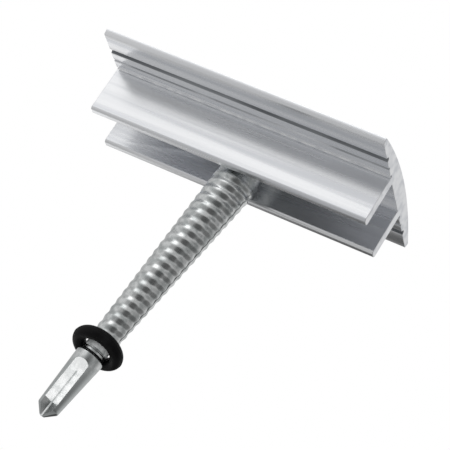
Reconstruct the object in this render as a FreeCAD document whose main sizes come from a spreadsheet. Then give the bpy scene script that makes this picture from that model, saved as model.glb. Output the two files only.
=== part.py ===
"""Middle clamp for framed solar modules: a cut aluminium extrusion, its tapered drilling screw and the
rubber ring that keeps the screw in the clamp.

Frame: X runs along the extrusion, Y across it and Z up through the cap. The origin is the middle of the
extrusion on the clamping plane, which is the flat underside of the cap. All sizes are in millimetres.
"""
import FreeCAD, Part
import math
import os

import Sketcher

DIMENSIONS = [
    ("profile_length", 60.0, "cut length of the extrusion"),
    ("cap_width", 37.0, "width of the cap over both flanges, before its edges are rounded"),
    ("cap_edge", 1.2, "thickness of the cap at its long edges"),
    ("dome_rise", 2.5, "rise of the domed top above the long edges"),
    ("edge_lean", 15.0, "lean of the cap's long sides, which face slightly down, degrees"),
    ("edge_round", 0.35, "rounding of the long edges of the cap"),
    ("channel_room", 0.43, "room between the thread and each leg"),
    ("leg_wall", 2.0, "thickness of each leg"),
    ("leg_depth", 9.8, "reach of the legs below the clamping plane"),
    ("leg_round", 0.6, "rounding of the leg tips"),
    ("root_groove_width", 0.7, "relief groove beside each leg, width at the face"),
    ("root_groove_depth", 0.4, "depth of the relief groove"),
    ("inner_groove_step", 3.1, "from the outside of a leg to the fine grip groove"),
    ("inner_groove_width", 0.6, "width of the fine grip groove at the face"),
    ("inner_groove_depth", 0.3, "depth of the fine grip groove"),
    ("outer_groove_step", 2.9, "from the fine grip groove to the deep one"),
    ("outer_groove_width", 1.2, "width of the deep grip groove at the face"),
    ("outer_groove_depth", 0.6, "depth of the deep grip groove"),
    ("hole_offset", 2.4, "screw hole, distance from mid-length"),
    ("hole_clearance", 0.15, "room round the leaning thread in the screw hole"),
    ("seat_margin", 1.0, "room round the screw flange on its milled seat"),
    ("seat_depth", 0.5, "depth of that seat below the crown"),
    ("screw_lean", 7.0, "lean of the loose screw along the extrusion, degrees"),
    ("head_gap", 0.03, "gap between the resting edge of the screw flange and its seat"),
    ("flange_diameter", 14.0, "round flange of the button head"),
    ("flange_edge", 1.0, "thickness of the flange at its rim"),
    ("flange_rise", 0.3, "rise of the flange from its rim to the button"),
    ("button_diameter", 11.0, "button where it rises from the flange"),
    ("button_curve", 5.8, "radius of the button's rounded side"),
    ("button_flat", 6.4, "flat top of the button round the socket"),
    ("head_height", 4.4, "height of the head above its bearing face"),
    ("socket_across", 5.0, "hexagon socket across its flats"),
    ("socket_depth", 2.6, "depth of the socket"),
    ("shank_step", 0.37, "depth of the plain shank below the thread crests"),
    ("shank_length", 13.0, "plain shank from the bearing face to the thread"),
    ("thread_length", 39.8, "threaded length"),
    ("thread_top", 8.74, "crest diameter where the thread starts"),
    ("thread_end", 5.40, "crest diameter where the thread ends"),
    ("thread_pitch", 1.92, "distance from one thread crest to the next"),
    ("thread_height", 0.25, "height of the thread above the core"),
    ("thread_runout", 0.4, "cone from the waist to the first turn of the thread"),
    ("waist_diameter", 4.8, "waist that holds the ring"),
    ("waist_above", 1.0, "room along the waist above the tilted ring"),
    ("waist_below", 0.4, "room along the waist below the tilted ring"),
    ("point_shoulder", 0.7, "length of the cone from the waist to the drill point"),
    ("point_diameter", 5.7, "largest diameter of the drill point"),
    ("point_end", 4.4, "diameter of the drill point where its tip cone starts"),
    ("point_length", 12.0, "length of the fluted body below the shoulder"),
    ("tip_length", 1.8, "length of the tip cone"),
    ("flute_floor", 0.3, "width of the flat floor of each flute"),
    ("flute_spread", 50.0, "angle between each wall of a flute and the flute's middle, degrees"),
    ("flute_slope", 4.0, "slope of the floor, which rises from the tip, degrees"),
    ("flute_web", 0.9, "steel left between the two flutes at the tip"),
    ("flute_length", 12.6, "length of the flutes from the tip"),
    ("flute_ramp", 2.4, "length of the ramp at the end of each flute"),
    ("flute_direction", -76.0, "direction that the first flute faces, degrees from the length"),
    ("ring_section", 2.6, "thickness of the ring"),
    ("ring_clearance", 0.1, "room between the tilted ring and the waist"),
    ("ring_tilt", 17.5, "tilt of the loose ring from square to the screw, degrees"),
    ("ring_low_side", 120.5, "direction of the ring's lower side, degrees from the length"),
]

# sizes that follow from the driving dimensions
CHANNEL = "(Size.thread_top + 2 * Size.channel_room)"
LEG_INSIDE = f"({CHANNEL} / 2)"
LEG_OUTSIDE = f"({CHANNEL} / 2 + Size.leg_wall)"
HALF_CAP = "(Size.cap_width / 2)"
HALF_UNDERSIDE = f"({HALF_CAP} - Size.cap_edge * tan(Size.edge_lean))"
CROWN = "(Size.cap_edge + Size.dome_rise)"
SEAT = f"({CROWN} - Size.seat_depth)"
HOLE = f"(Size.thread_top / cos(Size.screw_lean) + {SEAT} * tan(Size.screw_lean) + 2 * Size.hole_clearance)"
RING_SEAT = "(Size.waist_diameter / 2 + Size.ring_clearance)"
RING_RADIUS = f"(({RING_SEAT} + Size.ring_section / 2) / cos(Size.ring_tilt))"

# heights along the screw's own axis, measured from its bearing face
THREAD_START = "(-Size.shank_length)"
WAIST_START = f"({THREAD_START} - Size.thread_length)"
RING_MIDDLE = f"({WAIST_START} - {RING_RADIUS} * sin(Size.ring_tilt) - Size.waist_above)"
SHOULDER_START = f"({RING_MIDDLE} - {RING_RADIUS} * sin(Size.ring_tilt) - Size.waist_below)"
POINT_START = f"({SHOULDER_START} - Size.point_shoulder)"
CONE_START = f"({POINT_START} - Size.point_length)"
TIP = f"({CONE_START} - Size.tip_length)"

# how far cuts run past the face that they open through
CUT_MARGIN = 1.0

# a rounding takes at most this share of the wall that it is on
ROUND_SHARE = 0.45

# two places closer than this are the same place
TOUCH = 0.0001


def add_sheet(doc):
    """Write the driving dimensions into a spreadsheet, one named cell for each."""
    sheet = doc.addObject("Spreadsheet::Sheet", "Size")
    sheet.Label = "Size"
    for row, (alias, value, note) in enumerate(DIMENSIONS, start=1):
        sheet.set(f"A{row}", note)
        sheet.set(f"B{row}", str(value))
        sheet.setAlias(f"B{row}", alias)
    doc.recompute()
    return sheet


def origin_feature(body, role):
    """Find one of a body's own origin planes or axes."""
    for feature in body.Origin.OriginFeatures:
        if feature.Role == role:
            return feature
    raise ValueError(role)


def worth(sheet, expression):
    """Work out what an expression comes to with the sheet as it is now."""
    value = sheet.evalExpression(expression)
    return float(getattr(value, "Value", value))


def add_sketch(body, name, plane):
    """Attach a new sketch to one of the body's origin planes."""
    sketch = body.newObject("Sketcher::SketchObject", name)
    sketch.AttachmentSupport = (origin_feature(body, plane), [""])
    sketch.MapMode = "FlatFace"
    return sketch


def bind(sketch, constraint, expression):
    """Add a dimension to a sketch and tie it to an expression."""
    index = sketch.addConstraint(constraint)
    name = f"size{index}"
    sketch.renameConstraint(index, name)
    sketch.setExpression(f"Constraints.{name}", expression)


def arc_between(start, end, radius):
    """An arc that runs anticlockwise from start to end and is less than half a circle."""
    chord = end - start
    middle = (start + end) * 0.5
    rise = math.sqrt(radius ** 2 - (chord.Length / 2) ** 2)
    inward = FreeCAD.Vector(-chord.y, chord.x, 0).normalize()
    centre = middle + inward * rise
    circle = Part.Circle(centre, FreeCAD.Vector(0, 0, 1), radius)
    first = math.atan2(start.y - centre.y, start.x - centre.x)
    last = math.atan2(end.y - centre.y, end.x - centre.x)
    return Part.ArcOfCircle(circle, first, last)


def draw_outline(sheet, sketch, corners, arcs=None):
    """Draw a closed outline. Corners are pairs of expressions; arcs maps a side's number to its radius."""
    arcs = arcs or {}
    points = [FreeCAD.Vector(worth(sheet, across), worth(sheet, up), 0) for across, up in corners]
    sides = []
    for number, start in enumerate(points):
        end = points[(number + 1) % len(points)]
        if number in arcs:
            sides.append(sketch.addGeometry(arc_between(start, end, worth(sheet, arcs[number]))))
        else:
            sides.append(sketch.addGeometry(Part.LineSegment(start, end)))
    for number, side in enumerate(sides):
        following = sides[(number + 1) % len(sides)]
        sketch.addConstraint(Sketcher.Constraint("Coincident", side, 2, following, 1))
    for number, (across, up) in enumerate(corners):
        point = points[number]
        bind(sketch, Sketcher.Constraint("DistanceX", -1, 1, sides[number], 1, point.x), across)
        bind(sketch, Sketcher.Constraint("DistanceY", -1, 1, sides[number], 1, point.y), up)
    for number, radius in arcs.items():
        bind(sketch, Sketcher.Constraint("Radius", sides[number], worth(sheet, radius)), radius)


def add_extrusion(body, kind, name, sketch, length):
    """Pad or pocket a sketch by the same amount to both sides of its plane."""
    feature = body.newObject(kind, name)
    feature.Profile = sketch
    feature.SideType = "Symmetric"
    feature.Type = "Length"
    feature.setExpression("Length", length)
    return feature


def add_mirror(body, name, originals):
    """Repeat features on the other side of the clamp's middle plane."""
    mirror = body.newObject("PartDesign::Mirrored", name)
    mirror.Originals = originals
    mirror.MirrorPlane = (origin_feature(body, "XZ_Plane"), [""])
    body.Tip = mirror


def long_edges(shape, places):
    """Names of the edges along X that lie at the given places, on either side of the middle plane."""
    names = []
    for index, edge in enumerate(shape.Edges, start=1):
        first, last = edge.Vertexes[0].Point, edge.Vertexes[-1].Point
        if abs(first.x - last.x) < TOUCH:
            continue
        for across, up in places:
            if abs(abs(first.y) - across) < TOUCH and abs(first.z - up) < TOUCH:
                names.append(f"Edge{index}")
    return names


def add_rounds(doc, sheet, body, name, places, radius):
    """Round the long edges at the given places, which are pairs of expressions."""
    base = body.Tip
    found = long_edges(base.Shape, [(worth(sheet, across), worth(sheet, up)) for across, up in places])
    rounds = body.newObject("PartDesign::Fillet", name)
    rounds.Base = (base, found)
    rounds.setExpression("Radius", radius)
    doc.recompute()


def groove_corners(middle, width, depth):
    """Corners of one tapered groove that opens through the underside of the cap."""
    return [
        (f"{middle} - {width} / 2", f"-{CUT_MARGIN}"),
        (f"{middle} + {width} / 2", f"-{CUT_MARGIN}"),
        (f"{middle} + {width} / 2", "0"),
        (f"{middle} + {width} / 4", depth),
        (f"{middle} - {width} / 4", depth),
        (f"{middle} - {width} / 2", "0"),
    ]


def build_profile(doc, sheet):
    """The extrusion: domed cap, channel legs, grip grooves, screw hole and the seat for its head."""
    body = doc.addObject("PartDesign::Body", "clamp_profile")
    body.Label = "clamp_profile"

    cap_sketch = add_sketch(body, "CapSection", "YZ_Plane")
    cap_corners = [
        (f"-{HALF_UNDERSIDE}", "0"),
        (HALF_UNDERSIDE, "0"),
        (HALF_CAP, "Size.cap_edge"),
        (f"-{HALF_CAP}", "Size.cap_edge"),
    ]
    dome_radius = f"({HALF_CAP}^2 + Size.dome_rise^2) / (2 * Size.dome_rise)"
    draw_outline(sheet, cap_sketch, cap_corners, {2: dome_radius})
    add_extrusion(body, "PartDesign::Pad", "Cap", cap_sketch, "Size.profile_length")

    leg_sketch = add_sketch(body, "LegSection", "YZ_Plane")
    leg_corners = [
        (LEG_INSIDE, "-Size.leg_depth"),
        (LEG_OUTSIDE, "-Size.leg_depth"),
        (LEG_OUTSIDE, "Size.cap_edge"),
        (LEG_INSIDE, "Size.cap_edge"),
    ]
    draw_outline(sheet, leg_sketch, leg_corners)
    leg = add_extrusion(body, "PartDesign::Pad", "Leg", leg_sketch, "Size.profile_length")
    add_mirror(body, "OtherLeg", [leg])
    doc.recompute()

    tips = [(LEG_INSIDE, "-Size.leg_depth"), (LEG_OUTSIDE, "-Size.leg_depth")]
    tip_radius = f"min(Size.leg_round; {ROUND_SHARE} * Size.leg_wall)"
    add_rounds(doc, sheet, body, "LegTipRounds", tips, tip_radius)
    edges = [(HALF_UNDERSIDE, "0"), (HALF_CAP, "Size.cap_edge")]
    edge_radius = f"min(Size.edge_round; {ROUND_SHARE} * Size.cap_edge)"
    add_rounds(doc, sheet, body, "CapEdgeRounds", edges, edge_radius)

    groove_sketch = add_sketch(body, "GrooveSections", "YZ_Plane")
    root_place = f"({LEG_OUTSIDE} + Size.root_groove_width / 2)"
    inner_place = f"({LEG_OUTSIDE} + Size.inner_groove_step)"
    outer_place = f"({inner_place} + Size.outer_groove_step)"
    grooves = [
        (root_place, "Size.root_groove_width", "Size.root_groove_depth"),
        (inner_place, "Size.inner_groove_width", "Size.inner_groove_depth"),
        (outer_place, "Size.outer_groove_width", "Size.outer_groove_depth"),
    ]
    for middle, width, depth in grooves:
        draw_outline(sheet, groove_sketch, groove_corners(middle, width, depth))
    past_both_ends = f"Size.profile_length + 2 * {CUT_MARGIN}"
    groove = add_extrusion(body, "PartDesign::Pocket", "Grooves", groove_sketch, past_both_ends)
    add_mirror(body, "OtherGrooves", [groove])

    hole_sketch = add_sketch(body, "HoleCentre", "XY_Plane")
    hole_sketch.setExpression(".AttachmentOffset.Base.z", CROWN)
    place = FreeCAD.Vector(worth(sheet, "Size.hole_offset"), 0, 0)
    diameter = worth(sheet, HOLE)
    circle = hole_sketch.addGeometry(Part.Circle(place, FreeCAD.Vector(0, 0, 1), diameter / 2))
    hole_sketch.addConstraint(Sketcher.Constraint("PointOnObject", circle, 3, -1))
    bind(hole_sketch, Sketcher.Constraint("DistanceX", -1, 1, circle, 3, place.x), "Size.hole_offset")
    bind(hole_sketch, Sketcher.Constraint("Diameter", circle, diameter), HOLE)
    doc.recompute()
    hole = body.newObject("PartDesign::Hole", "ScrewHole")
    hole.Profile = hole_sketch
    hole.DepthType = "ThroughAll"
    hole.HoleCutType = "Counterbore"
    hole.setExpression("Diameter", HOLE)
    hole.setExpression("HoleCutDiameter", "Size.flange_diameter + 2 * Size.seat_margin")
    hole.setExpression("HoleCutDepth", "Size.seat_depth")
    doc.recompute()
    return body


def thread_ridges(sheet):
    """Corners of the tapered thread's outline from its small end up, one ridge for each turn.

    The ridges are rings round the screw, level and not wound, so that the solid stays light.
    """
    room = "(Size.thread_length - Size.thread_runout)"
    turns = math.floor(worth(sheet, f"{room} / Size.thread_pitch"))
    taper = "((Size.thread_top - Size.thread_end) / (2 * Size.thread_length))"
    corners = []
    for half_turn in range(2 * turns + 1):
        rise = f"(Size.thread_runout + {half_turn} * Size.thread_pitch / 2)"
        depth = "0" if half_turn % 2 else "Size.thread_height"
        corners.append((f"Size.thread_end / 2 + {taper} * {rise} - {depth}", f"{WAIST_START} + {rise}"))
    return corners


def add_blank(doc, sheet, body):
    """The turned form of the screw from its flange to its tip."""
    sketch = add_sketch(body, "Blank", "XZ_Plane")
    shank_radius = "Size.thread_top / 2 - Size.shank_step"
    corners = [
        ("0", "Size.head_height"),
        ("0", TIP),
        ("Size.point_end / 2", CONE_START),
        ("Size.point_diameter / 2", POINT_START),
        ("Size.waist_diameter / 2", SHOULDER_START),
        ("Size.waist_diameter / 2", WAIST_START),
        *thread_ridges(sheet),
        ("Size.thread_top / 2 - Size.thread_height", THREAD_START),
        (shank_radius, THREAD_START),
        (shank_radius, "0"),
        ("Size.flange_diameter / 2", "0"),
        ("Size.flange_diameter / 2", "Size.flange_edge"),
        ("Size.button_diameter / 2", "Size.flange_edge + Size.flange_rise"),
        ("Size.button_flat / 2", "Size.head_height"),
    ]
    button_side = len(corners) - 2
    draw_outline(sheet, sketch, corners, {button_side: "Size.button_curve"})
    blank = body.newObject("PartDesign::Revolution", "TurnedBlank")
    blank.Profile = sketch
    blank.ReferenceAxis = (sketch, ["V_Axis"])
    blank.Angle = 360.0
    doc.recompute()


def add_socket(doc, sheet, body):
    """The hexagon socket in the top of the head."""
    corner = "Size.socket_across / (2 * cos(30deg))"
    sketch = add_sketch(body, "Socket", "XY_Plane")
    sketch.setExpression(".AttachmentOffset.Base.z", "Size.head_height")
    corners = [(f"{corner} * cos({60 * side}deg)", f"{corner} * sin({60 * side}deg)") for side in range(6)]
    draw_outline(sheet, sketch, corners)
    pocket = body.newObject("PartDesign::Pocket", "SocketCut")
    pocket.Profile = sketch
    pocket.Type = "Length"
    pocket.setExpression("Length", "Size.socket_depth")
    doc.recompute()


def add_flutes(doc, body):
    """Two flutes with sloping walls and a narrow floor that rises from the tip and ends in a ramp."""
    cutter = body.newObject("PartDesign::SubtractiveWedge", "Flute")
    cutter.AttachmentSupport = (origin_feature(body, "XY_Plane"), [""])
    cutter.MapMode = "FlatFace"
    reach_out = "Size.point_diameter"
    half_floor = "Size.flute_floor / 2"
    half_mouth = f"({half_floor} + {reach_out} * tan(Size.flute_spread))"
    floor_length = f"(Size.flute_length + {CUT_MARGIN} - Size.flute_ramp)"
    end_depth = "((Size.point_diameter - Size.flute_web) / 2 - Size.flute_length * tan(Size.flute_slope))"
    sizes = {
        "Xmin": f"-{half_floor}",
        "Xmax": half_floor,
        "X2min": f"-{half_mouth}",
        "X2max": half_mouth,
        "Ymin": "0",
        "Ymax": reach_out,
        "Zmin": "0",
        "Zmax": floor_length,
        "Z2min": "0",
        "Z2max": f"{floor_length} + {reach_out} * Size.flute_ramp / {end_depth}",
    }
    for name, expression in sizes.items():
        cutter.setExpression(name, expression)
    facing = "Size.flute_direction"
    reach = f"(Size.flute_web / 2 - {CUT_MARGIN} * tan(Size.flute_slope))"
    start = f"vector({reach} * cos({facing}); {reach} * sin({facing}); {TIP} - {CUT_MARGIN})"
    lean_out = f"rotation(vector(-sin({facing}); cos({facing}); 0); Size.flute_slope)"
    face_out = f"rotation(vector(0; 0; 1); {facing} - 90)"
    cutter.setExpression("AttachmentOffset", f"placement({start}; {lean_out} * {face_out})")
    doc.recompute()
    pattern = body.newObject("PartDesign::PolarPattern", "BothFlutes")
    pattern.Originals = [cutter]
    pattern.Axis = (origin_feature(body, "Z_Axis"), [""])
    pattern.Angle = 360.0
    pattern.Occurrences = 2
    body.Tip = pattern
    doc.recompute()


def on_screw_axis(height):
    """The point of the leaning screw axis that lies at a height above the screw's bearing face."""
    middle = f"({SEAT} / 2)"
    bearing = f"({SEAT} + Size.head_gap + Size.flange_diameter / 2 * sin(Size.screw_lean))"
    along = f"(({bearing} - {middle}) / cos(Size.screw_lean) + {height})"
    across = f"Size.hole_offset + {along} * sin(Size.screw_lean)"
    return f"vector({across}; 0; {middle} + {along} * cos(Size.screw_lean))"


def build_screw(doc, sheet):
    """The screw: flanged button head, shank, tapered thread, waist for the ring and drill point."""
    body = doc.addObject("PartDesign::Body", "drill_screw")
    body.Label = "drill_screw"
    add_blank(doc, sheet, body)
    add_socket(doc, sheet, body)
    add_flutes(doc, body)
    lean = "rotation(vector(0; 1; 0); Size.screw_lean)"
    body.setExpression("Placement", f"placement({on_screw_axis(0)}; {lean})")
    return body


def build_ring(doc):
    """The rubber ring, hanging a little askew round the waist of the screw."""
    ring = doc.addObject("Part::Torus", "retaining_ring")
    ring.Label = "retaining_ring"
    ring.setExpression("Radius1", RING_RADIUS)
    ring.setExpression("Radius2", "Size.ring_section / 2")
    lean = "rotation(vector(0; 1; 0); Size.screw_lean)"
    low_side = "Size.ring_low_side"
    tilt = f"rotation(vector(-sin({low_side}); cos({low_side}); 0); Size.ring_tilt)"
    ring.setExpression("Placement", f"placement({on_screw_axis(RING_MIDDLE)}; {lean} * {tilt})")
    return ring


def main():
    """Build the document, check every object and write the solids."""
    doc = FreeCAD.newDocument("solar_module_clamp")
    sheet = add_sheet(doc)
    pieces = [build_profile(doc, sheet), build_screw(doc, sheet), build_ring(doc)]
    doc.recompute()
    for item in doc.Objects:
        if "Invalid" in item.State or "Error" in item.State:
            raise RuntimeError(f"{item.Label} failed: {item.State}")
    for piece in pieces:
        if piece.Shape.isNull() or not piece.Shape.isValid() or len(piece.Shape.Solids) != 1:
            raise RuntimeError(f"{piece.Label} is not one valid solid")
    os.makedirs("parts", exist_ok=True)
    for piece in pieces:
        piece.Shape.exportStep(f"parts/{piece.Label}.step")
        box = piece.Shape.optimalBoundingBox()
        print(f"{piece.Label}: {piece.Shape.Volume:.1f} cubic mm, {box}")


main()
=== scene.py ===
"""Looks of a middle clamp for framed solar modules.

The clamp is a short aluminium extrusion with a domed cap and a channel of two legs, a loose drilling
screw with a tapered thread, and a black rubber ring that keeps the screw in the clamp. Sizes are in
millimetres in the clamp's own frame: X along the extrusion, Y across it, Z up through the cap, and the
origin in the middle of its flat underside. The Blender scene is in metres.
"""
import logging
import math
from dataclasses import dataclass
from enum import Enum

import bmesh
import bpy
from mathutils import Matrix, Vector


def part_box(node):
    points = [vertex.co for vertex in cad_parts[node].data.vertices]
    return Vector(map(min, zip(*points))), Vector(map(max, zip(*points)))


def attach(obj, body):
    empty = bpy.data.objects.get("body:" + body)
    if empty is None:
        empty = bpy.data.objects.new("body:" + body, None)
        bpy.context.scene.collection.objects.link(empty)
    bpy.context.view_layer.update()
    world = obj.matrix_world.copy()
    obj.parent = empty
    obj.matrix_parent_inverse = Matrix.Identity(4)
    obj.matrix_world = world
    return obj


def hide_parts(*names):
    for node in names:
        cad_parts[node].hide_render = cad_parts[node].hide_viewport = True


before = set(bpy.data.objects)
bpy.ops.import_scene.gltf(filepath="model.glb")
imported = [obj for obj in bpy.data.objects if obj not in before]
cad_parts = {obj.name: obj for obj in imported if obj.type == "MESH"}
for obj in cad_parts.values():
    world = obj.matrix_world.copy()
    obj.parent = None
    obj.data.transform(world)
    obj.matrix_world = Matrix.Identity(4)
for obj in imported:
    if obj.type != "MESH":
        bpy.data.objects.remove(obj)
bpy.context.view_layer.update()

MM = 0.001  # one millimetre in metres
FILLET_STEP = 0.12  # length of one step along a rounded edge
ROUND_COLUMNS = 96  # points round a turned surface
WELD_GAP = 0.001  # points nearer to each other than this are one point
CLEAR = 1.0  # how far a cutter stands out of what it cuts
TOUCH = 0.01  # a face this near to a level lies on it
REACH = 0.05  # a face this little outside a round wall belongs to the wall
FACING = 0.5  # a face looks along an axis where more of its normal than this does
CRISP_DEGREES = 28.0  # a surface that bends more than this keeps a crisp edge
UNIT_NOISE = {"Scale": 1.0}  # noise with one grain to a unit
SMOOTH = {"interpolation_type": "SMOOTHSTEP"}  # mapped softly at both ends
log = logging.getLogger("clamp")

Point = tuple[float, float]
Corner = tuple[float, float, float]
Row = list[tuple[float, float, float]]
Values = dict[str | int, object]
Links = dict[str | int, bpy.types.Node | bpy.types.NodeSocket]


class Role(Enum):
    """How a face of the extrusion was made, which sets its finish."""

    DRAWN = "drawn through the die"
    SAWN = "sawn to length"
    MILLED = "milled seat and drilled hole"
    # The two groove roles get painted shade: darker tones inside the grooves.
    GROOVE = "inside of the deep grip groove"
    FINE_GROOVE = "inside of a fine groove"


class Work(Enum):
    """How a surface of the screw was formed, which sets its finish."""

    ROLLED = "turned or rolled"
    PRESSED = "pressed wall of a flute"
    # Painted shade: this finish gives the upper waist under the ring and the flute floors a darker matt
    # grey.
    PLAIN = "waist and floor of a flute, which no tool has burnished"
    LAND = "land between the flutes"


def linear(colour: str) -> tuple[float, float, float, float]:
    """Turn an sRGB hex colour into linear red, green, blue and alpha.

    Args:
        colour: Six hex digits with a leading hash.

    Returns:
        The linear colour, opaque.
    """
    coded = [int(colour[place:place + 2], 16) / 255 for place in (1, 3, 5)]
    red, green, blue = (
        part / 12.92 if part <= 0.04045 else ((part + 0.055) / 1.055) ** 2.4 for part in coded
    )
    return red, green, blue, 1.0


def add_node(
    tree: bpy.types.NodeTree,
    kind: str,
    values: Values | None = None,
    links: Links | None = None,
    **settings: object,
) -> bpy.types.Node:
    """Add a node with its settings and links.

    Args:
        tree: The tree that gets the node.
        kind: The node's type name.
        values: Input socket to the value that it is set to.
        links: Input socket to the output socket that feeds it, or to a node whose first output does.
        settings: The node's own settings by name.

    Returns:
        The new node.
    """
    node = tree.nodes.new(kind)
    for name, value in settings.items():
        setattr(node, name, value)
    for socket, value in (values or {}).items():
        node.inputs[socket].default_value = value
    for socket, source in (links or {}).items():
        feed = source.outputs[0] if isinstance(source, bpy.types.Node) else source
        tree.links.new(feed, node.inputs[socket])
    return node


def span(band: tuple[float, float], ends: tuple[float, float] = (0.0, 1.0)) -> Values:
    """Values for a node that maps a band of its input onto new ends.

    Args:
        band: Low and high end of the input.
        ends: What they become.

    Returns:
        The input values of the node.
    """
    return {"From Min": band[0], "From Max": band[1], "To Min": ends[0], "To Max": ends[1]}


def grains(size: Vector) -> Values:
    """Values for a node that scales coordinates in metres so that one unit is one grain.

    Args:
        size: Size of one grain along X, Y and Z in millimetres.

    Returns:
        The input values of the node.
    """
    return {"Scale": tuple(1 / (side * MM) for side in size)}


def new_material(name: str) -> bpy.types.Material:
    """Make an empty material that uses nodes.

    Args:
        name: Name of the material.

    Returns:
        The material, still without a node.
    """
    material = bpy.data.materials.new(name)
    material.use_nodes = True
    material.node_tree.nodes.clear()
    return material


@dataclass(frozen=True)
class MillAluminium:
    """Extruded aluminium as it leaves the die, cleaned but not coated.

    The die draws fine lines along the length and the saw leaves short ones across the ends. The grooves
    are painted a darker grey, as painted shade.
    """

    # To the eye: bright and cool. The lines blur what the metal mirrors across them and leave it sharp
    # along them, so it shows long soft streaks. Sawn ends are satin, and the grooves are dull with painted
    # shade.
    # Real die lines lie a few hundredths of a millimetre apart and are drawn coarser, so that they show.
    colour: str = "#f2f3f5"
    shade: str = "#e2e4e8"
    # Painted shade: the deep groove and the fine grooves take these darker greys.
    groove_shade: str = "#85888c"
    fine_groove_shade: str = "#a4a7ab"
    tone_band: tuple[float, float] = (0.35, 0.6)
    groove_shade_band: tuple[float, float] = (0.4, 0.65)
    roughness: float = 0.25
    blur_band: tuple[float, float] = (0.3, 0.7)
    duller: float = 0.05
    glossier: float = 0.03
    saw_blur: float = 0.12
    fine_groove_blur: float = 0.1
    groove_blur: float = 0.3
    line_spacing: float = 0.35
    line_length: float = 60.0
    line_depth: float = 0.003
    streak_spacing: float = 2.2
    streak_length: float = 120.0
    groove_streak_length: float = 16.0
    saw_spacing: float = 0.5
    saw_length: float = 12.0
    saw_depth: float = 0.01

    def grain(self, role: Role) -> tuple[Vector, Vector, float, float]:
        """Find the grain of one kind of face.

        Args:
            role: How the face was made.

        Returns:
            Sizes of the fine lines and of the broad streaks, depth of the lines and extra roughness.
        """
        if role in (Role.SAWN, Role.MILLED):
            lines = Vector((self.saw_spacing, self.saw_length, self.saw_spacing))
            return lines, Vector((self.streak_spacing,) * 3), self.saw_depth, self.saw_blur
        lines = Vector((self.line_length, self.line_spacing, self.line_spacing))
        length = self.streak_length if role is Role.DRAWN else self.groove_streak_length
        streaks = Vector((length, self.streak_spacing, self.streak_spacing))
        extra = {Role.GROOVE: self.groove_blur, Role.FINE_GROOVE: self.fine_groove_blur}.get(role, 0.0)
        return lines, streaks, self.line_depth, extra

    def make(self, role: Role) -> bpy.types.Material:
        """Build the finish for one kind of face.

        Args:
            role: How the face was made.

        Returns:
            The material.
        """
        lines, streaks, depth, extra = self.grain(role)
        # Painted shade: the grooves take darker tones than the open metal.
        low, high, band = {
            Role.GROOVE: (self.groove_shade, self.fine_groove_shade, self.groove_shade_band),
            Role.FINE_GROOVE: (self.fine_groove_shade, self.shade, self.groove_shade_band),
        }.get(role, (self.shade, self.colour, self.tone_band))
        base = self.roughness + extra
        gloss = (base + self.duller, base - self.glossier)
        material = new_material(f"mill_aluminium_{role.name.lower()}")
        tree = material.node_tree
        place = add_node(tree, "ShaderNodeTexCoord").outputs["Object"]
        fine = add_node(tree, "ShaderNodeMapping", grains(lines), {"Vector": place})
        height = add_node(tree, "ShaderNodeTexNoise", UNIT_NOISE, {"Vector": fine})
        broad = add_node(tree, "ShaderNodeMapping", grains(streaks), {"Vector": place})
        bands = add_node(tree, "ShaderNodeTexNoise", UNIT_NOISE, {"Vector": broad})
        share = add_node(tree, "ShaderNodeMapRange", span(band), {"Value": bands}, **SMOOTH)
        tone = add_node(tree, "ShaderNodeMixRGB", {1: linear(low), 2: linear(high)}, {0: share})
        blur = add_node(tree, "ShaderNodeMapRange", span(self.blur_band, gloss), {"Value": bands}, **SMOOTH)
        bump = add_node(tree, "ShaderNodeBump", {"Distance": depth * MM}, {"Height": height})
        feeds = {"Base Color": tone, "Roughness": blur, "Normal": bump}
        shader = add_node(tree, "ShaderNodeBsdfPrincipled", {"Metallic": 1.0}, feeds)
        add_node(tree, "ShaderNodeOutputMaterial", links={"Surface": shader})
        return material


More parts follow.
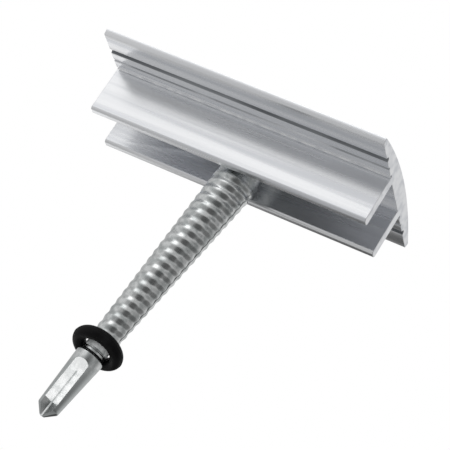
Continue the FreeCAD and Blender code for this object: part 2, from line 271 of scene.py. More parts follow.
@dataclass(frozen=True)
class ZincPlatedSteel:
    """Hardened steel with bright zinc plating, which has a smooth and slightly cloudy gloss.

    The rolled thread is smooth. The walls of the flutes are pressed, so there the plating is pale and matt.
    The lands turn darker towards the tip, as painted shade.
    """

    # To the eye: a cold gloss with one small glint on each turn of the thread, soft grey clouds in it, and
    # pale flutes without glints. The grit of the plating is far finer than 0.1 mm and is drawn coarser, so
    # that it shows.
    colour: str = "#d4d6d6"
    shade: str = "#b4b8b8"
    # Painted shade: the darker grey of the upper waist under the ring and of the flute floors.
    plain: str = "#aeb2b2"
    # Painted shade: the tone that the lands fade to towards the tip.
    land: str = "#b4b8b8"
    matt: str = "#e4e6e6"
    satin: str = "#fafbfb"
    tone_band: tuple[float, float] = (0.35, 0.6)
    land_start: float = 1.0
    land_end: float = 4.0
    roughness: float = 0.22
    satin_roughness: float = 0.42
    blur_band: tuple[float, float] = (0.35, 0.65)
    duller: float = 0.06
    glossier: float = 0.03
    satin_metal: float = 0.1
    plain_metal: float = 0.25
    cloud: float = 1.4
    cloud_detail: float = 3.0
    grit: float = 0.3
    grit_depth: float = 0.004

    def make(self, work: Work, shoulder: Vector, down: Vector) -> bpy.types.Material:
        """Build the finish for one kind of surface.

        Args:
            work: How the surface was formed.
            shoulder: Middle of the shoulder above the drill point, in metres.
            down: Direction from the shoulder to the tip.

        Returns:
            The material.
        """
        low, high, base, metal = {
            Work.ROLLED: (self.shade, self.colour, self.roughness, 1.0),
            Work.PRESSED: (self.matt, self.satin, self.satin_roughness, self.satin_metal),
            Work.PLAIN: (self.plain, self.colour, self.satin_roughness, self.plain_metal),
            Work.LAND: (self.shade, self.colour, self.roughness, 1.0),
        }[work]
        gloss = (base + self.duller, base - self.glossier)
        material = new_material(f"zinc_plated_steel_{work.name.lower()}")
        tree = material.node_tree
        place = add_node(tree, "ShaderNodeTexCoord").outputs["Object"]
        broad = add_node(tree, "ShaderNodeMapping", grains(Vector((self.cloud,) * 3)), {"Vector": place})
        cloudy = {**UNIT_NOISE, "Detail": self.cloud_detail}
        clouds = add_node(tree, "ShaderNodeTexNoise", cloudy, {"Vector": broad})
        fine = add_node(tree, "ShaderNodeMapping", grains(Vector((self.grit,) * 3)), {"Vector": place})
        grain = add_node(tree, "ShaderNodeTexNoise", UNIT_NOISE, {"Vector": fine})
        share = add_node(tree, "ShaderNodeMapRange", span(self.tone_band), {"Value": clouds}, **SMOOTH)
        tone = add_node(tree, "ShaderNodeMixRGB", {1: linear(low), 2: linear(high)}, {0: share})
        # Painted shade: the lands darken towards the tip.
        if work is Work.LAND:
            arm = add_node(tree, "ShaderNodeVectorMath", {1: shoulder}, {0: place}, operation="SUBTRACT")
            reach = add_node(tree, "ShaderNodeVectorMath", {1: down}, {0: arm}, operation="DOT_PRODUCT")
            fade, along = (self.land_start * MM, self.land_end * MM), {"Value": reach.outputs["Value"]}
            tip_shade = add_node(tree, "ShaderNodeMapRange", span(fade), along, **SMOOTH)
            tone = add_node(tree, "ShaderNodeMixRGB", {2: linear(self.land)}, {0: tip_shade, 1: tone})
        blur = add_node(tree, "ShaderNodeMapRange", span(self.blur_band, gloss), {"Value": clouds}, **SMOOTH)
        bump = add_node(tree, "ShaderNodeBump", {"Distance": self.grit_depth * MM}, {"Height": grain})
        feeds = {"Base Color": tone, "Roughness": blur, "Normal": bump}
        shader = add_node(tree, "ShaderNodeBsdfPrincipled", {"Metallic": metal}, feeds)
        add_node(tree, "ShaderNodeOutputMaterial", links={"Surface": shader})
        return material


@dataclass(frozen=True)
class MouldedRubber:
    """Black nitrile rubber, moulded, with a fine matt skin and a faint grey bloom."""

    # To the eye: deep black with a weak soft sheen and no glints, a little greyer in patches. The grain of
    # the skin is finer than 0.1 mm and is drawn coarser, so that it shows.
    colour: str = "#040405"
    bloom: str = "#0f1011"
    tone_band: tuple[float, float] = (0.4, 0.75)
    patch: float = 2.5
    patch_detail: float = 3.0
    roughness: float = 0.5
    blur_band: tuple[float, float] = (0.35, 0.7)
    duller: float = 0.12
    skin: float = 0.25
    skin_depth: float = 0.008
    ior: float = 1.3
    shine: float = 0.3

    def make(self) -> bpy.types.Material:
        """Build the finish.

        Returns:
            The material.
        """
        gloss = (self.roughness, self.roughness + self.duller)
        material = new_material("moulded_nitrile_rubber")
        tree = material.node_tree
        place = add_node(tree, "ShaderNodeTexCoord").outputs["Object"]
        broad = add_node(tree, "ShaderNodeMapping", grains(Vector((self.patch,) * 3)), {"Vector": place})
        patchy = {**UNIT_NOISE, "Detail": self.patch_detail}
        bloom = add_node(tree, "ShaderNodeTexNoise", patchy, {"Vector": broad})
        fine = add_node(tree, "ShaderNodeMapping", grains(Vector((self.skin,) * 3)), {"Vector": place})
        grain = add_node(tree, "ShaderNodeTexNoise", UNIT_NOISE, {"Vector": fine})
        share = add_node(tree, "ShaderNodeMapRange", span(self.tone_band), {"Value": bloom}, **SMOOTH)
        colours = {1: linear(self.colour), 2: linear(self.bloom)}
        tone = add_node(tree, "ShaderNodeMixRGB", colours, {0: share})
        blur = add_node(tree, "ShaderNodeMapRange", span(self.blur_band, gloss), {"Value": bloom}, **SMOOTH)
        bump = add_node(tree, "ShaderNodeBump", {"Distance": self.skin_depth * MM}, {"Height": grain})
        shine = {"IOR": self.ior, "Specular IOR Level": self.shine}
        feeds = {"Base Color": tone, "Roughness": blur, "Normal": bump}
        shader = add_node(tree, "ShaderNodeBsdfPrincipled", shine, feeds)
        add_node(tree, "ShaderNodeOutputMaterial", links={"Surface": shader})
        return material


@dataclass(frozen=True)
class MattPaper:
    """White backdrop paper, rolled and uncoated."""

    # To the eye: an even pale ground without any sheen.
    colour: str = "#f4f4f4"
    roughness: float = 0.9

    def make(self) -> bpy.types.Material:
        """Build the finish.

        Returns:
            The material.
        """
        material = new_material("matt_white_paper")
        tree = material.node_tree
        values = {"Base Color": linear(self.colour), "Roughness": self.roughness}
        shader = add_node(tree, "ShaderNodeBsdfPrincipled", values)
        add_node(tree, "ShaderNodeOutputMaterial", links={"Surface": shader})
        return material


def mesh_object(name: str, mesh: bmesh.types.BMesh) -> bpy.types.Object:
    """Turn a bmesh in millimetres into a shaded object in metres.

    Args:
        name: Name of the object and its mesh.
        mesh: The mesh in millimetres, which is freed.

    Returns:
        The object, linked to the scene.
    """
    bmesh.ops.recalc_face_normals(mesh, faces=mesh.faces)
    bmesh.ops.scale(mesh, vec=(MM, MM, MM), verts=mesh.verts)
    data = bpy.data.meshes.new(name)
    mesh.to_mesh(data)
    mesh.free()
    shade(data)
    made = bpy.data.objects.new(name, data)
    bpy.context.scene.collection.objects.link(made)
    return made


def shade(data: bpy.types.Mesh) -> None:
    """Shade a mesh smooth, with crisp edges where it bends sharply."""
    data.shade_smooth()
    data.set_sharp_from_angle(angle=math.radians(CRISP_DEGREES))


def cut_away(piece: bpy.types.Object, cutters: list[bpy.types.Object]) -> None:
    """Cut the cutters out of a piece for good, weld doubled points and remove the cutters.

    Args:
        piece: The object that is cut.
        cutters: Closed objects that are taken away from it.
    """
    for cutter in cutters:
        step = piece.modifiers.new("cut", "BOOLEAN")
        step.operation = "DIFFERENCE"
        step.solver = "EXACT"
        step.object = cutter
    depsgraph = bpy.context.evaluated_depsgraph_get()
    data = bpy.data.meshes.new_from_object(piece.evaluated_get(depsgraph))
    data.name = piece.name
    welded = bmesh.new()
    welded.from_mesh(data)
    bmesh.ops.remove_doubles(welded, verts=welded.verts, dist=WELD_GAP * MM)
    welded.to_mesh(data)
    welded.free()
    piece.modifiers.clear()
    old, piece.data = piece.data, data
    bpy.data.meshes.remove(old)
    for cutter in cutters:
        bpy.data.objects.remove(cutter)
    shade(data)


def round_row(radius: float, height: float, across: float = 0.0) -> Row:
    """A round ring of points about a vertical axis.

    Args:
        radius: Radius of the ring.
        height: Its height.
        across: Place of the axis along X.

    Returns:
        The ring's points.
    """
    turns = [2 * math.pi * column / ROUND_COLUMNS for column in range(ROUND_COLUMNS)]
    return [(across + radius * math.cos(turn), radius * math.sin(turn), height) for turn in turns]


def skin_rows(mesh: bmesh.types.BMesh, rows: list[Row]) -> None:
    """Skin rings of points into a closed surface.

    Args:
        mesh: The mesh that gets the surface.
        rows: Rings with the same number of points each, in order.
    """
    rings = [[mesh.verts.new(point) for point in row] for row in rows]
    count = len(rings[0])
    for lower, upper in zip(rings, rings[1:]):
        for place in range(count):
            after = (place + 1) % count
            mesh.faces.new((lower[place], lower[after], upper[after], upper[place]))
    mesh.faces.new(list(reversed(rings[0])))
    mesh.faces.new(rings[-1])


def arc_points(start: Point, end: Point, radius: float, steps: int) -> list[Point]:
    """Points of an arc that bulges to the right of the way from start to end, without its ends.

    Args:
        start: Where the arc starts.
        end: Where it ends, less than half a circle on.
        radius: Its radius.
        steps: Number of steps.

    Returns:
        The points between the ends.
    """
    first, last = Vector(start), Vector(end)
    chord = last - first
    rise = math.sqrt(radius ** 2 - (chord.length / 2) ** 2)
    centre = (first + last) / 2 + Vector((-chord.y, chord.x)).normalized() * rise
    opening = math.atan2((first - centre).y, (first - centre).x)
    sweep = 2 * math.asin(chord.length / 2 / radius)
    points = []
    for step in range(1, steps):
        turn = opening + sweep * step / steps
        points.append((centre.x + radius * math.cos(turn), centre.y + radius * math.sin(turn)))
    return points


def fillet(before: Point, corner: Point, after: Point, radius: float) -> list[Point]:
    """Round one corner of an outline with an arc.

    Args:
        before: The corner before it.
        corner: The corner to round.
        after: The corner after it.
        radius: Radius of the arc.

    Returns:
        The points of the arc, or the corner itself where the radius is zero.
    """
    if radius <= 0:
        return [corner]
    here = Vector(corner)
    back = (Vector(before) - here).normalized()
    ahead = (Vector(after) - here).normalized()
    half = back.angle(ahead) / 2
    centre = here + (back + ahead).normalized() * (radius / math.sin(half))
    start = here + back * (radius / math.tan(half)) - centre
    end = here + ahead * (radius / math.tan(half)) - centre
    sweep = math.atan2(start.x * end.y - start.y * end.x, start.dot(end))
    steps = max(2, round(abs(sweep) * radius / FILLET_STEP))
    points = []
    for step in range(steps + 1):
        turn = sweep * step / steps
        cosine, sine = math.cos(turn), math.sin(turn)
        across = centre.x + start.x * cosine - start.y * sine
        up = centre.y + start.x * sine + start.y * cosine
        points.append((across, up))
    return points


@dataclass(frozen=True)
class Groove:
    """One groove along the underside of each flange, with a floor half as wide as its mouth."""

    place: float
    width: float
    depth: float
    lip: float
    bright: float
    role: Role

    def corners(self) -> list[Corner]:
        """Find the groove's four corners, from its inner to its outer lip.

        Returns:
            Place across, height and radius of each corner.
        """
        half, floor = self.width / 2, self.width / 4
        shape = ((-half, 0.0), (-floor, self.depth), (floor, self.depth), (half, 0.0))
        return [(self.place + across, up, self.lip) for across, up in shape]

    def holds(self, middle: Vector) -> bool:
        """Whether a face lies in the groove, past the part of its rounded lip that stays bright."""
        in_width = abs(abs(middle.y) - self.place) < self.width / 2
        return in_width and self.bright < middle.z < self.depth + TOUCH


@dataclass
class ClampProfile:
    """The cut length of extrusion: domed cap, channel legs, grip grooves, screw hole and its seat."""

    finish: MillAluminium
    length: float
    leg_depth: float
    crown: float
    cap_width: float = 37.0
    cap_edge: float = 1.2
    edge_lean: float = 15.0
    edge_round: float = 0.15
    channel: float = 9.6
    leg_wall: float = 2.0
    leg_round: float = 0.6
    root_round: float = 0.15
    hole_place: float = 2.4
    hole_radius: float = 4.75
    hole_break: float = 0.15
    seat_radius: float = 8.0
    seat_depth: float = 0.5
    end_break: float = 0.08
    dome_steps: int = 72
    grooves: tuple[Groove, ...] = (
        Groove(place=7.15, width=0.7, depth=0.4, lip=0.1, bright=0.02, role=Role.FINE_GROOVE),
        Groove(place=9.9, width=0.6, depth=0.3, lip=0.1, bright=0.02, role=Role.FINE_GROOVE),
        Groove(place=12.8, width=1.2, depth=0.6, lip=0.2, bright=0.05, role=Role.GROOVE),
    )

    @classmethod
    def from_frame(cls, finish: MillAluminium) -> "ClampProfile":
        """Take the length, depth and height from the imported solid."""
        low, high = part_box("clamp_profile")
        return cls(finish, (high.x - low.x) / MM, -low.z / MM, high.z / MM)

    def seat_height(self) -> float:
        """Height of the milled seat over the underside."""
        return self.crown - self.seat_depth

    def half_corners(self) -> list[Corner]:
        """Find the corners of one side, from the channel to the cap's edge.

        Returns:
            Place across, height and radius of each corner.
        """
        inside, outside = self.channel / 2, self.channel / 2 + self.leg_wall
        corners = [
            (inside, 0.0, self.root_round),
            (inside, -self.leg_depth, self.leg_round),
            (outside, -self.leg_depth, self.leg_round),
        ]
        for groove in self.grooves:
            corners += groove.corners()
        lean_in = self.cap_edge * math.tan(math.radians(self.edge_lean))
        corners.append((self.cap_width / 2 - lean_in, 0.0, self.edge_round))
        corners.append((self.cap_width / 2, self.cap_edge, self.edge_round))
        return corners

    def outline(self) -> list[Point]:
        """Draw the whole section.

        Returns:
            A closed, anticlockwise outline of Y and Z.
        """
        right = self.half_corners()
        left = [(-across, up, radius) for across, up, radius in reversed(right)]
        rise = self.crown - self.cap_edge
        dome_radius = ((self.cap_width / 2) ** 2 + rise ** 2) / (2 * rise)
        dome = arc_points(right[-1][:2], left[0][:2], dome_radius, self.dome_steps)
        corners = right + [(across, up, 0.0) for across, up in dome] + left
        points: list[Point] = []
        for place, (across, up, radius) in enumerate(corners):
            before, after = corners[place - 1], corners[(place + 1) % len(corners)]
            points += fillet(before[:2], (across, up), after[:2], radius)
        return points

    def broken(self, points: list[Point]) -> list[Point]:
        """Move the outline inwards a little, for the broken edge at a sawn end.

        Args:
            points: The full outline.

        Returns:
            The smaller outline, point by point.
        """
        moved = []
        for place, point in enumerate(points):
            along = Vector(points[(place + 1) % len(points)]) - Vector(points[place - 1])
            along.normalize()
            moved.append((point[0] - along.y * self.end_break, point[1] + along.x * self.end_break))
        return moved

    def hole_cutter(self) -> bpy.types.Object:
        """Make the round tool that leaves the screw hole and the flat seat above it.

        Returns:
            The cutter.
        """
        seat = self.seat_height()
        wide = self.hole_radius + self.hole_break
        profile = [
            (wide, -CLEAR),
            (wide, 0.0),
            (self.hole_radius, self.hole_break),
            (self.hole_radius, seat - self.hole_break),
            (wide, seat),
            (self.seat_radius, seat),
            (self.seat_radius, self.crown + CLEAR),
        ]
        mesh = bmesh.new()
        skin_rows(mesh, [round_row(radius, up, self.hole_place) for radius, up in profile])
        return mesh_object("hole_cutter", mesh)

    def build(self) -> bpy.types.Object:
        """Build and dress the extrusion.

        Returns:
            The finished object.
        """
        full = self.outline()
        narrow = self.broken(full)
        half = self.length / 2
        inner = half - self.end_break
        mesh = bmesh.new()
        ends = ((-half, narrow), (-inner, full), (inner, full), (half, narrow))
        skin_rows(mesh, [[(along, across, up) for across, up in section] for along, section in ends])
        piece = mesh_object("extruded_profile", mesh)
        cut_away(piece, [self.hole_cutter()])
        roles = list(Role)
        for role in roles:
            piece.data.materials.append(self.finish.make(role))
        for face in piece.data.polygons:
            face.material_index = roles.index(self.role(face.center / MM, face.normal))
        return piece

    def role(self, middle: Vector, normal: Vector) -> Role:
        """Tell how a face was made, from where it lies and which way it looks.

        Args:
            middle: Middle of the face in millimetres.
            normal: Its normal.

        Returns:
            The face's role.
        """
        if abs(middle.x) > self.length / 2 - self.end_break and abs(normal.x) > FACING:
            return Role.SAWN
        from_axis = math.hypot(middle.x - self.hole_place, middle.y)
        below_dome = middle.z < self.seat_height() + TOUCH or abs(normal.z) < FACING
        if from_axis < self.seat_radius + REACH and below_dome and middle.z > TOUCH:
            return Role.MILLED
        for groove in self.grooves:
            if groove.holds(middle):
                return groove.role
        return Role.DRAWN


@dataclass(frozen=True)
class RingFit:
    """How the loose ring sits on the waist of the screw, tilted, which sets the length of the waist."""

    waist_radius: float = 2.4
    section: float = 2.6
    clearance: float = 0.1
    tilt: float = 17.5
    low_side: float = 120.5
    room_above: float = 1.0
    room_below: float = 0.4

    def middle_radius(self) -> float:
        """Radius of the middle line of the ring, which clears the waist although it is tilted."""
        seat = self.waist_radius + self.clearance + self.section / 2
        return seat / math.cos(math.radians(self.tilt))

    def waist_length(self) -> float:
        """Length of the waist, from the end of the thread to the shoulder of the drill point."""
        rise = self.middle_radius() * math.sin(math.radians(self.tilt))
        return self.room_above + 2 * rise + self.room_below


@dataclass
class DrillScrew:
    """The loose screw: flanged button head, shank, tapered thread, waist and fluted drill point.

    Heights are along the screw's own axis, from the bearing face of its head.
    """

    finish: ZincPlatedSteel
    fit: RingFit
    hole_place: float
    seat_height: float
    lean: float = 7.0
    head_gap: float = 0.03
    head_height: float = 4.4
    button_radius: float = 5.5
    button_curve: float = 5.8
    button_flat: float = 3.2
    button_steps: int = 10
    socket_across: float = 5.0
    socket_depth: float = 2.6
    socket_cone: float = 0.3
    cone_end: float = 0.1
    flange_radius: float = 7.0
    flange_edge: float = 1.0
    flange_rise: float = 0.3
    edge_break: float = 0.15
    shank_radius: float = 4.0
    shank_length: float = 13.0
    thread_length: float = 39.8
    thread_top: float = 8.74
    thread_end: float = 5.4
    thread_pitch: float = 1.92
    thread_height: float = 0.17
    thread_runout: float = 0.4
    rows_per_turn: int = 12
    relief_depth: float = 0.22
    relief_width: float = 0.5
    relief_wall: float = 0.3
    relief_round: float = 0.08
    relief_place: float = 0.4
    waist_round: float = 0.15
    point_shoulder: float = 0.7
    point_radius: float = 2.85
    shoulder_round: float = 0.3
    point_end: float = 2.2
    point_length: float = 12.0
    land_round: float = 0.6
    tip_length: float = 1.8
    tip_flat: float = 0.5
    tip_round: float = 0.25
    tip_middle: float = 0.05
    flute_floor: float = 0.3
    flute_spread: float = 50.0
    flute_slope: float = 4.0
    flute_web: float = 0.9
    flute_length: float = 12.6
    flute_ramp: float = 2.4
    flute_direction: float = -76.0
    ground_length: float = 3.0

    def waist_start(self) -> float:
        """Depth of the end of the thread, where the waist starts."""
        return self.shank_length + self.thread_length

    def shoulder_start(self) -> float:
        """Depth of the end of the waist, where the shoulder of the drill point starts."""
        return self.waist_start() + self.fit.waist_length()

    def point_start(self) -> float:
        """Depth of the thickest place of the drill point, at the end of its shoulder."""
        return self.shoulder_start() + self.point_shoulder

    def tip(self) -> float:
        """Depth of the tip."""
        return self.point_start() + self.point_length + self.tip_length

    def head(self) -> list[Row]:
        """Draw the head, from the floor of its socket over the top to its bearing face.

        Returns:
            The rings.
        """
        floor = self.head_height - self.socket_depth
        sixth = math.pi / 3
        mouth = self.socket_across / 2 / math.cos(sixth / 2) + self.edge_break
        rows = [round_row(self.cone_end, floor - self.socket_cone)]
        for height in (floor, self.head_height - self.edge_break):
            row: Row = []
            for x, y, _ in round_row(1.0, 0.0):
                radius = self.socket_across / 2 / math.cos(math.atan2(y, x) % sixth - sixth / 2)
                row.append((x * radius, y * radius, height))
            rows.append(row)
        foot = (self.button_radius, self.flange_edge + self.flange_rise)
        edge = (self.button_flat, self.head_height)
        side = arc_points(foot, edge, self.button_curve, self.button_steps)
        rim, under = (self.flange_radius, self.flange_edge), (self.flange_radius, 0.0)
        profile = [
            (mouth, self.head_height),
            *reversed([foot, *side, edge]),
            *fillet(foot, rim, under, self.edge_break),
            (self.flange_radius, self.edge_break),
            (self.flange_radius - self.edge_break, 0.0),
            (self.shank_radius + self.edge_break, 0.0),
            (self.shank_radius, -self.edge_break),
        ]
        return rows + [round_row(radius, height) for radius, height in profile]

    def thread(self) -> list[Row]:
        """Wind the thread from the shank down to the waist.

        Each ring climbs by one pitch in a turn, so the crest and the root run along whole rings. Where a
        ring would leave the threaded length it lies on the end of it.

        Returns:
            The rings.
        """
        top, bottom = -self.shank_length, -self.waist_start()
        taper = (self.thread_top - self.thread_end) / 2 / self.thread_length
        step = self.thread_pitch / self.rows_per_turn
        count = round(self.thread_length / step) + self.rows_per_turn
        start_fade, end_fade = self.thread_pitch, self.thread_runout * self.thread_pitch
        rows = []
        for number in range(count + 1):
            across = (number % self.rows_per_turn) / self.rows_per_turn
            bulge = 0.5 - 0.5 * math.cos(2 * math.pi * across)
            row: Row = []
            for column in range(ROUND_COLUMNS):
                turn = column / ROUND_COLUMNS
                inside = min(max(top - number * step + self.thread_pitch * turn, bottom), top)
                fade = min(1.0, (top - inside) / start_fade, (inside - bottom) / end_fade)
                core = self.thread_end / 2 + taper * (inside - bottom) - self.thread_height
                radius = core + self.thread_height * bulge * fade
                angle = 2 * math.pi * turn
                row.append((radius * math.cos(angle), radius * math.sin(angle), inside))
            rows.append(row)
        return rows

    def point(self) -> list[Row]:
        """Draw the waist with its small relief groove, and the drill point.

        Returns:
            The rings.
        """
        waist, start, full = self.fit.waist_radius, self.shoulder_start(), self.point_start()
        cone = full + self.point_length
        relief = waist - self.relief_depth
        relief_end = start - self.relief_place
        relief_start = relief_end - self.relief_width
        wall = self.relief_wall * self.relief_width
        corners = [
            (waist, relief_start, 0.0),
            (relief, relief_start + wall, self.relief_round),
            (relief, relief_end - wall, self.relief_round),
            (waist, relief_end, 0.0),
            (waist, start, self.waist_round),
            (self.point_radius, full, self.shoulder_round),
            (self.point_end, cone, self.land_round),
            (self.tip_flat, self.tip(), self.tip_round),
            (self.tip_middle, self.tip(), 0.0),
        ]
        rows = [round_row(waist, -self.waist_start()), round_row(waist, -relief_start)]
        for place, (radius, depth, turn) in enumerate(corners[1:], start=1):
            before, after = corners[place - 1][:2], corners[min(place + 1, len(corners) - 1)][:2]
            rows += [round_row(out, -down) for out, down in fillet(before, (radius, depth), after, turn)]
        return rows

    def flute_cutter(self, side: int) -> bpy.types.Object:
        """Make one of the two cutters with sloping walls that leave the flutes.

        Args:
            side: 0 for the first flute and 1 for the one across from it.

        Returns:
            The cutter, in the screw's own upright frame.
        """
        slope = math.radians(self.flute_slope)
        facing = math.radians(self.flute_direction) + math.pi * side
        reach_out = 2 * self.point_radius
        floor = self.flute_floor / 2
        mouth = floor + reach_out * math.tan(math.radians(self.flute_spread))
        floor_end = self.flute_length + CLEAR - self.flute_ramp
        end_depth = self.point_radius - self.flute_web / 2 - self.flute_length * math.tan(slope)
        mouth_end = floor_end + reach_out * self.flute_ramp / end_depth
        rows = []
        for low_end, high_end in ((0.0, 0.0), (floor_end, mouth_end)):
            bottom = [(across, 0.0, low_end) for across in (-floor, floor)]
            top = [(across, reach_out, high_end) for across in (mouth, -mouth)]
            rows.append(bottom + top)
        mesh = bmesh.new()
        skin_rows(mesh, rows)
        reach = self.flute_web / 2 - CLEAR * math.tan(slope)
        foot = (reach * math.cos(facing), reach * math.sin(facing), -self.tip() - CLEAR)
        lean_out = Matrix.Rotation(slope, 4, Vector((-math.sin(facing), math.cos(facing), 0.0)))
        face_out = Matrix.Rotation(facing - math.pi / 2, 4, "Z")
        placed = Matrix.Translation(foot) @ lean_out @ face_out
        bmesh.ops.transform(mesh, matrix=placed, verts=mesh.verts)
        return mesh_object(f"flute_cutter_{side}", mesh)

    def placed(self, height: float) -> Matrix:
        """Find where a height on the leaning axis lies in the clamp's frame.

        The axis leans about the middle of the hole, and the low edge of the flange rests on the seat.

        Args:
            height: Height over the bearing face of the head.

        Returns:
            The place and the lean, in metres.
        """
        lean = math.radians(self.lean)
        pivot = Vector((self.hole_place, 0.0, self.seat_height / 2))
        bearing = self.seat_height + self.head_gap + self.flange_radius * math.sin(lean)
        along = (bearing - pivot.z) / math.cos(lean) + height
        turned = Matrix.Translation(pivot * MM) @ Matrix.Rotation(lean, 4, "Y")
        return turned @ Matrix.Translation(Vector((0.0, 0.0, along * MM)))

    def build(self) -> bpy.types.Object:
        """Build, place and dress the screw.

        Returns:
            The finished object.
        """
        mesh = bmesh.new()
        skin_rows(mesh, self.head() + self.thread() + self.point())
        bmesh.ops.remove_doubles(mesh, verts=mesh.verts, dist=WELD_GAP)
        piece = mesh_object("plated_screw", mesh)
        cutters = [self.flute_cutter(side) for side in (0, 1)]
        shoulder = self.placed(-self.point_start())
        down = shoulder.to_3x3() @ Vector((0.0, 0.0, -1.0))
        works = list(Work)
        finishes = [self.finish.make(work, shoulder.translation, down) for work in works]
        for each in (piece, *cutters):
            for finish in finishes:
                each.data.materials.append(finish)
        # Painted shade: the smallest face of each cutter leaves the flute floor, which gets the darker matt
        # finish.
        for cutter in cutters:
            floor = min(cutter.data.polygons, key=lambda face: face.area).index
            for face in cutter.data.polygons:
                face.material_index = works.index(Work.PLAIN if face.index == floor else Work.PRESSED)
        cut_away(piece, cutters)
        self.sort_faces(piece, works)
        piece.data.transform(self.placed(0.0))
        return piece

    def sort_faces(self, piece: bpy.types.Object, works: list[Work]) -> None:
        """Give the waist, the ground end of the point and the lands their own finish.

        Args:
            piece: The screw, upright in its own frame.
            works: Kinds of surface in the order of the material slots.
        """
        ground = -(self.tip() - self.ground_length) * MM
        lands = -self.point_start() * MM
        waist = -self.waist_start() * MM
        relief = -(self.shoulder_start() - self.relief_place - self.relief_width) * MM
        mesh = bmesh.new()
        mesh.from_mesh(piece.data)
        everything = [*mesh.verts, *mesh.edges, *mesh.faces]
        bmesh.ops.bisect_plane(mesh, geom=everything, plane_co=(0, 0, ground), plane_no=(0, 0, 1))
        rolled, pressed, plain, land = (works.index(work) for work in Work)
        # Painted shade: the upper waist under the ring gets the darker matt finish.
        for face in mesh.faces:
            height = face.calc_center_median().z
            if face.material_index == rolled and height < lands:
                face.material_index = land
            elif face.material_index == rolled and relief < height < waist:
                face.material_index = plain
            elif face.material_index == pressed and height < ground:
                face.material_index = rolled
        mesh.to_mesh(piece.data)
        mesh.free()
        shade(piece.data)


@dataclass
class RetainingRing:
    """The rubber ring, hanging a little askew round the waist of the screw, with a fine mould seam."""

    finish: MouldedRubber
    fit: RingFit
    lean: float
    flash: float = 0.04
    flash_width: float = 0.07
    around: int = 128
    across: int = 56

    def circle(self, step: int) -> Row:
        """Draw the ring's section, with the flash of the mould at its inner and outer seam.

        Args:
            step: Step round the ring.

        Returns:
            The section's points.
        """
        turn = 2 * math.pi * step / self.around
        row: Row = []
        for place in range(self.across):
            angle = 2 * math.pi * place / self.across
            seam = math.exp(-((math.sin(angle) / self.flash_width) ** 2))
            radius = self.fit.section / 2 - self.flash * (1 - seam)
            out = self.fit.middle_radius() + radius * math.cos(angle)
            row.append((out * math.cos(turn), out * math.sin(turn), radius * math.sin(angle)))
        return row

    def build(self) -> bpy.types.Object:
        """Build, place and dress the ring.

        Returns:
            The finished object.
        """
        mesh = bmesh.new()
        rings = [[mesh.verts.new(point) for point in self.circle(step)] for step in range(self.around)]
        for here, there in zip(rings, rings[1:] + rings[:1]):
            for place in range(self.across):
                after = (place + 1) % self.across
                mesh.faces.new((here[place], there[place], there[after], here[after]))
        piece = mesh_object("rubber_ring", mesh)
        low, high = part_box("retaining_ring")
        lean = Matrix.Rotation(math.radians(self.lean), 4, "Y")
        turn = math.radians(self.fit.low_side)
        hinge = Vector((-math.sin(turn), math.cos(turn), 0.0))
        askew = Matrix.Rotation(math.radians(self.fit.tilt), 4, hinge)
        piece.data.transform(Matrix.Translation((low + high) / 2) @ lean @ askew)
        piece.data.materials.append(self.finish.make())
        return piece


@dataclass(frozen=True)
class Panel:
    """A soft light panel or a dark flag of the studio, as a round patch seen from the clamp.

    Its angles are in degrees. Its level is full within the core and fades out at the edge.
    """

    azimuth: float
    elevation: float
    core: float
    edge: float
    level: float

    def direction(self) -> Vector:
        """Direction from the clamp to the panel. Azimuth 0 is towards -Y and 90 towards +X."""
        turn, rise = math.radians(self.azimuth), math.radians(self.elevation)
        return Vector((math.sin(turn) * math.cos(rise), -math.cos(turn) * math.cos(rise), math.sin(rise)))


@dataclass(frozen=True)
class SoftLight:
    """A round soft light, in metres and watts, which lights matt surfaces and is not mirrored in metal."""

    name: str
    place: tuple[float, float, float]
    size: float
    power: float

    def hang(self) -> None:
        """Hang the light so that it points at the clamp."""
        data = bpy.data.lights.new(self.name, "AREA")
        data.shape, data.size, data.energy = "DISK", self.size, self.power
        light = bpy.data.objects.new(self.name, data)
        bpy.context.scene.collection.objects.link(light)
        light.location = self.place
        light.rotation_mode = "QUATERNION"
        light.rotation_quaternion = (-light.location).to_track_quat("-Z", "Y")
        light.visible_glossy = False


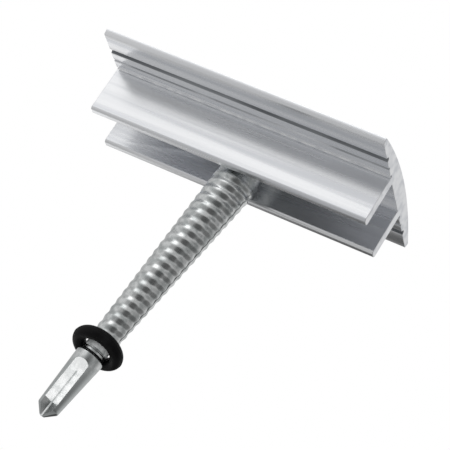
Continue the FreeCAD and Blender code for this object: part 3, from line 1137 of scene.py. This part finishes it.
@dataclass
class Studio:
    """White backdrop, pale floor, soft panels and the camera.

    The place and the aim of the camera are fitted to the long edges of the extrusion in the photograph.
    """

    paper: MattPaper
    eye: tuple[float, float, float] = (153.76, -319.59, -157.61)
    gaze: tuple[float, float, float] = (-0.39465, 0.84229, 0.36718)
    right: tuple[float, float, float] = (0.8452, 0.1760, 0.5047)
    focal_pixels: float = 2047.7
    picture_pixels: float = 450.0
    sensor: float = 36.0
    nearest: float = 10.0
    farthest: float = 10000.0
    floor_height: float = -450.0
    floor_reach: float = 4000.0
    horizon: float = 0.25
    upper_level: float = 0.6
    lower_level: float = 0.48
    backdrop_level: float = 1.0
    panels: tuple[Panel, ...] = (
        Panel(azimuth=-62, elevation=-8, core=14, edge=42, level=0.8),
        Panel(azimuth=-24, elevation=34, core=16, edge=26, level=1.08),
        Panel(azimuth=-27, elevation=41, core=7, edge=15, level=2.0),
        Panel(azimuth=29, elevation=-12, core=14, edge=37, level=0.12),
        Panel(azimuth=95, elevation=-30, core=22, edge=46, level=0.2),
        Panel(azimuth=95, elevation=42, core=20, edge=42, level=0.42),
        Panel(azimuth=-140, elevation=-20, core=6, edge=18, level=1.5),
        Panel(azimuth=-176, elevation=-24, core=17, edge=28, level=0.08),
        Panel(azimuth=157, elevation=16, core=14, edge=34, level=0.75),
    )
    lights: tuple[SoftLight, ...] = (
        SoftLight(name="overhead", place=(-0.2, -0.3, 0.9), size=1.2, power=9.0),
        SoftLight(name="fill", place=(0.38, -0.46, -0.1), size=0.5, power=1.2),
    )

    def camera(self) -> None:
        """Put the camera where the picture was taken from."""
        data = bpy.data.cameras.new("camera")
        data.sensor_width = self.sensor
        data.lens = self.focal_pixels * self.sensor / self.picture_pixels
        data.clip_start, data.clip_end = self.nearest * MM, self.farthest * MM
        camera = bpy.data.objects.new("camera", data)
        bpy.context.scene.collection.objects.link(camera)
        ahead = Vector(self.gaze).normalized()
        right = Vector(self.right)
        right = (right - ahead * right.dot(ahead)).normalized()
        axes = Matrix((right, right.cross(ahead), -ahead)).transposed()
        camera.matrix_world = Matrix.Translation(Vector(self.eye) * MM) @ axes.to_4x4()
        bpy.context.scene.camera = camera

    def floor(self) -> None:
        """Lay the pale floor."""
        mesh = bmesh.new()
        bmesh.ops.create_grid(mesh, x_segments=1, y_segments=1, size=self.floor_reach)
        bmesh.ops.translate(mesh, vec=(0, 0, self.floor_height), verts=mesh.verts)
        floor = mesh_object("floor", mesh)
        floor.data.materials.append(self.paper.make())
        floor.visible_glossy = False

    def world(self) -> None:
        """Set white behind the clamp, and soft panels and flags for its metal to mirror."""
        world = bpy.data.worlds.new("studio")
        bpy.context.scene.world = world
        world.use_nodes = True
        tree = world.node_tree
        tree.nodes.clear()
        way = add_node(tree, "ShaderNodeTexCoord").outputs["Generated"]
        height = add_node(tree, "ShaderNodeSeparateXYZ", links={0: way}).outputs["Z"]
        rise = span((-self.horizon, self.horizon), (self.lower_level, self.upper_level))
        level = add_node(tree, "ShaderNodeMapRange", rise, {"Value": height}, **SMOOTH)
        for panel in self.panels:
            aim = {1: panel.direction()}
            near = add_node(tree, "ShaderNodeVectorMath", aim, {0: way}, operation="DOT_PRODUCT")
            fade = span((math.cos(math.radians(panel.edge)), math.cos(math.radians(panel.core))))
            mask = add_node(tree, "ShaderNodeMapRange", fade, {"Value": near.outputs["Value"]}, **SMOOTH)
            mixed = {"Factor": mask, "A": level}
            level = add_node(tree, "ShaderNodeMix", {"B": panel.level}, mixed, data_type="FLOAT")
        seen = add_node(tree, "ShaderNodeLightPath").outputs["Is Camera Ray"]
        mixed = {"Factor": seen, "A": level}
        shown = add_node(tree, "ShaderNodeMix", {"B": self.backdrop_level}, mixed, data_type="FLOAT")
        white = {"Color": (1.0, 1.0, 1.0, 1.0)}
        background = add_node(tree, "ShaderNodeBackground", white, {"Strength": shown})
        add_node(tree, "ShaderNodeOutputWorld", links={"Surface": background})

    def build(self) -> None:
        """Set the whole studio up."""
        bpy.context.scene.view_settings.view_transform = "Standard"
        bpy.context.scene.view_settings.look = "None"
        self.camera()
        self.floor()
        self.world()
        for light in self.lights:
            light.hang()


def write_sizes() -> None:
    """Bring the placements of the scene up to date."""
    bpy.context.view_layer.update()


def main() -> None:
    """Build each piece, tell what it rides on and set up the studio."""
    logging.basicConfig(level=logging.INFO, format="%(name)s: %(message)s")
    fit = RingFit()
    profile = ClampProfile.from_frame(MillAluminium())
    screw = DrillScrew(ZincPlatedSteel(), fit, profile.hole_place, profile.seat_height())
    ring = RetainingRing(MouldedRubber(), fit, screw.lean)
    for builder, body, node, slot in (
        (profile, "clamp", "clamp_profile", "mill_aluminium"),
        (screw, "screw", "drill_screw", "zinc_plated_steel"),
        (ring, "keeper", "retaining_ring", "black_rubber"),
    ):
        piece = builder.build()
        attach(piece, body)
        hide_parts(node)
        log.info("%s: %d faces, rides on %s", piece.name, len(piece.data.polygons), body)
    Studio(MattPaper()).build()
    write_sizes()


if __name__ == "__main__":
    main()
